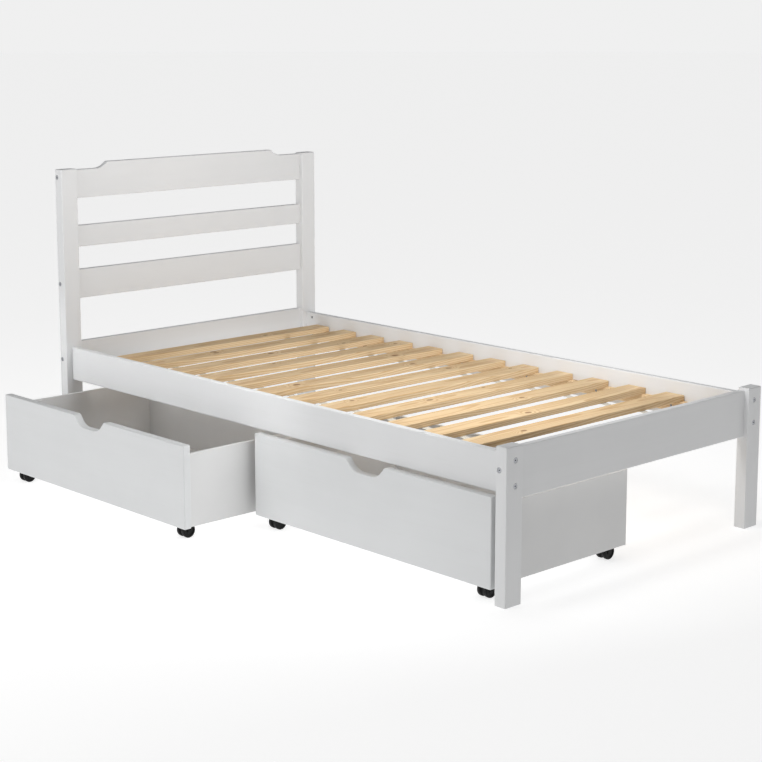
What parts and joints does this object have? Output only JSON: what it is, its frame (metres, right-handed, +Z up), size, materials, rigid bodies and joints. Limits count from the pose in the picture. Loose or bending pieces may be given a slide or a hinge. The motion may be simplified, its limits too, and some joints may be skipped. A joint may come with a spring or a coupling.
{
  "type": "wooden twin bed frame with under-bed drawers",
  "caption": "White painted wooden twin bed frame with a slatted headboard, low foot end, slatted base and two under-bed drawers that roll out on wheels.",
  "frame": {"origin": "on the floor at the middle of the bed frame: midway between the outer faces of the posts across the bed and midway between the foot posts' and head posts' outer faces along it", "axes": "+X across the bed away from the side where the drawers come out, +Y along the bed towards the headboard, +Z up"},
  "size_m": [1.323, 1.99, 0.9965],
  "materials": {
    "painted_white": "pine with a satin white paint, its grain just showing",
    "drawer_white": "board with a satin white paint",
    "bare_pine": "planed bare pine",
    "beech": "bare beech",
    "zinc_steel": "zinc-plated steel",
    "wheel_plastic": "black nylon",
    "housing_plastic": "black moulded plastic",
    "webbing": "woven cotton tape"
  },
  "bodies": {
    "frame": {"barrel_nuts": "zinc_steel", "connector_bolts": "zinc_steel", "deck_screws": "zinc_steel", "dowels": "beech", "foot_post_left": "painted_white", "foot_post_right": "painted_white", "foot_rail": "painted_white", "head_cross_rail": "painted_white", "head_post_left": "painted_white", "head_post_right": "painted_white", "headboard_lower_slat": "painted_white", "headboard_middle_slat": "painted_white", "headboard_top_rail": "painted_white", "side_rail_left": "painted_white", "side_rail_right": "painted_white", "slat_01": "bare_pine", "slat_02": "bare_pine", "slat_03": "bare_pine", "slat_04": "bare_pine", "slat_05": "bare_pine", "slat_06": "bare_pine", "slat_07": "bare_pine", "slat_08": "bare_pine", "slat_09": "bare_pine", "slat_10": "bare_pine", "slat_11": "bare_pine", "slat_12": "bare_pine", "slat_13": "bare_pine", "slat_ledger_left": "bare_pine", "slat_ledger_right": "bare_pine", "slat_webbing": "webbing"},
    "head_drawer": {"head_drawer_back": "drawer_white", "head_drawer_back_screws": "zinc_steel", "head_drawer_base": "drawer_white", "head_drawer_cam_fittings": "zinc_steel", "head_drawer_caster_axles": "zinc_steel", "head_drawer_caster_housings": "housing_plastic", "head_drawer_caster_screws": "zinc_steel", "head_drawer_foot_side": "drawer_white", "head_drawer_front": "painted_white", "head_drawer_head_side": "drawer_white"},
    "head_drawer_wheel_front_head": {"head_drawer_wheel_front_head": "wheel_plastic"},
    "head_drawer_wheel_front_foot": {"head_drawer_wheel_front_foot": "wheel_plastic"},
    "head_drawer_wheel_back_head": {"head_drawer_wheel_back_head": "wheel_plastic"},
    "head_drawer_wheel_back_foot": {"head_drawer_wheel_back_foot": "wheel_plastic"},
    "foot_drawer": {"foot_drawer_back": "drawer_white", "foot_drawer_back_screws": "zinc_steel", "foot_drawer_base": "drawer_white", "foot_drawer_cam_fittings": "zinc_steel", "foot_drawer_caster_axles": "zinc_steel", "foot_drawer_caster_housings": "housing_plastic", "foot_drawer_caster_screws": "zinc_steel", "foot_drawer_foot_side": "drawer_white", "foot_drawer_front": "painted_white", "foot_drawer_head_side": "drawer_white"},
    "foot_drawer_wheel_front_head": {"foot_drawer_wheel_front_head": "wheel_plastic"},
    "foot_drawer_wheel_front_foot": {"foot_drawer_wheel_front_foot": "wheel_plastic"},
    "foot_drawer_wheel_back_head": {"foot_drawer_wheel_back_head": "wheel_plastic"},
    "foot_drawer_wheel_back_foot": {"foot_drawer_wheel_back_foot": "wheel_plastic"}
  },
  "joints": [
    {"name": "head_drawer_slide", "type": "slide", "parent": "frame", "child": "head_drawer", "axis": [-1, 0, 0], "range_m": [-0.243, 0.297]},
    {"name": "head_drawer_wheel_front_head_spin", "type": "hinge", "parent": "head_drawer", "child": "head_drawer_wheel_front_head", "pos_m": [-0.741, 0.893, 0.021], "axis": [0, -1, 0], "continuous": true},
    {"name": "head_drawer_wheel_front_foot_spin", "type": "hinge", "parent": "head_drawer", "child": "head_drawer_wheel_front_foot", "pos_m": [-0.741, 0.059, 0.021], "axis": [0, -1, 0], "continuous": true},
    {"name": "head_drawer_wheel_back_head_spin", "type": "hinge", "parent": "head_drawer", "child": "head_drawer_wheel_back_head", "pos_m": [-0.27, 0.893, 0.021], "axis": [0, -1, 0], "continuous": true},
    {"name": "head_drawer_wheel_back_foot_spin", "type": "hinge", "parent": "head_drawer", "child": "head_drawer_wheel_back_foot", "pos_m": [-0.27, 0.059, 0.021], "axis": [0, -1, 0], "continuous": true},
    {"name": "foot_drawer_slide", "type": "slide", "parent": "frame", "child": "foot_drawer", "axis": [-1, 0, 0], "range_m": [0, 0.54]},
    {"name": "foot_drawer_wheel_front_head_spin", "type": "hinge", "parent": "foot_drawer", "child": "foot_drawer_wheel_front_head", "pos_m": [-0.498, -0.059, 0.021], "axis": [0, -1, 0], "continuous": true},
    {"name": "foot_drawer_wheel_front_foot_spin", "type": "hinge", "parent": "foot_drawer", "child": "foot_drawer_wheel_front_foot", "pos_m": [-0.498, -0.893, 0.021], "axis": [0, -1, 0], "continuous": true},
    {"name": "foot_drawer_wheel_back_head_spin", "type": "hinge", "parent": "foot_drawer", "child": "foot_drawer_wheel_back_head", "pos_m": [-0.027, -0.059, 0.021], "axis": [0, -1, 0], "continuous": true},
    {"name": "foot_drawer_wheel_back_foot_spin", "type": "hinge", "parent": "foot_drawer", "child": "foot_drawer_wheel_back_foot", "pos_m": [-0.027, -0.893, 0.021], "axis": [0, -1, 0], "continuous": true}
  ],
  "couplings": [
    {"joint": "head_drawer_wheel_front_head_spin", "follows": "head_drawer_slide", "rad_per_m": 47.619},
    {"joint": "head_drawer_wheel_front_foot_spin", "follows": "head_drawer_slide", "rad_per_m": 47.619},
    {"joint": "head_drawer_wheel_back_head_spin", "follows": "head_drawer_slide", "rad_per_m": 47.619},
    {"joint": "head_drawer_wheel_back_foot_spin", "follows": "head_drawer_slide", "rad_per_m": 47.619},
    {"joint": "foot_drawer_wheel_front_head_spin", "follows": "foot_drawer_slide", "rad_per_m": 47.619},
    {"joint": "foot_drawer_wheel_front_foot_spin", "follows": "foot_drawer_slide", "rad_per_m": 47.619},
    {"joint": "foot_drawer_wheel_back_head_spin", "follows": "foot_drawer_slide", "rad_per_m": 47.619},
    {"joint": "foot_drawer_wheel_back_foot_spin", "follows": "foot_drawer_slide", "rad_per_m": 47.619}
  ]
}
